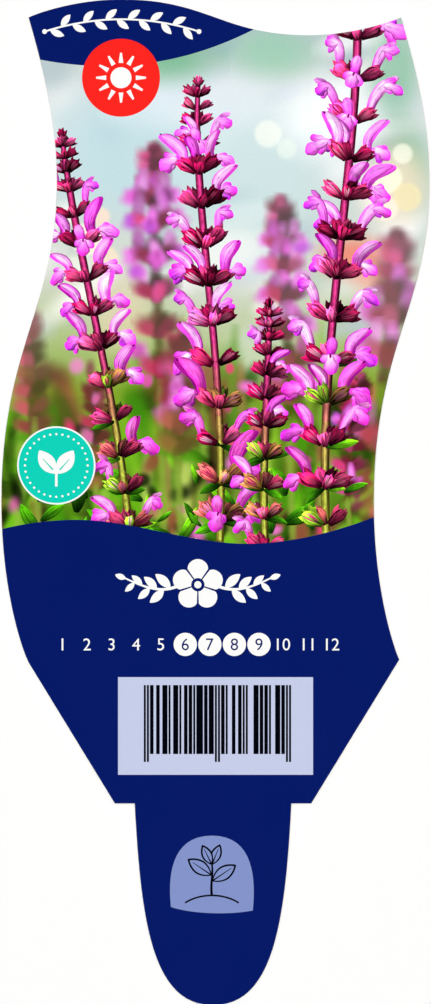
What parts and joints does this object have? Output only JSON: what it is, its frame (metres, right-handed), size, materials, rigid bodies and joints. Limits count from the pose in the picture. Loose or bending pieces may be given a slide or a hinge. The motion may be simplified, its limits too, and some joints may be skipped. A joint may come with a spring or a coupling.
{
  "type": "plant label",
  "caption": "Flat die-cut plastic plant label: a waved, printed picture panel that tapers to square shoulders and a round-tipped stake to push into soil.",
  "frame": {"origin": "middle of the label's bounding box in plan, on its underside; the label lies on its back", "axes": "+Y along the label from the stake's tip to the top edge, +X to the right as the printed front is read, +Z out of the printed front"},
  "size_m": [0.0732, 0.172, 0.0006],
  "materials": {
    "printed_plastic": "white rigid plastic sheet, printed on both sides under a satin-gloss varnish"
  },
  "bodies": {
    "root": {"label_sheet": "printed_plastic"}
  },
  "joints": []
}
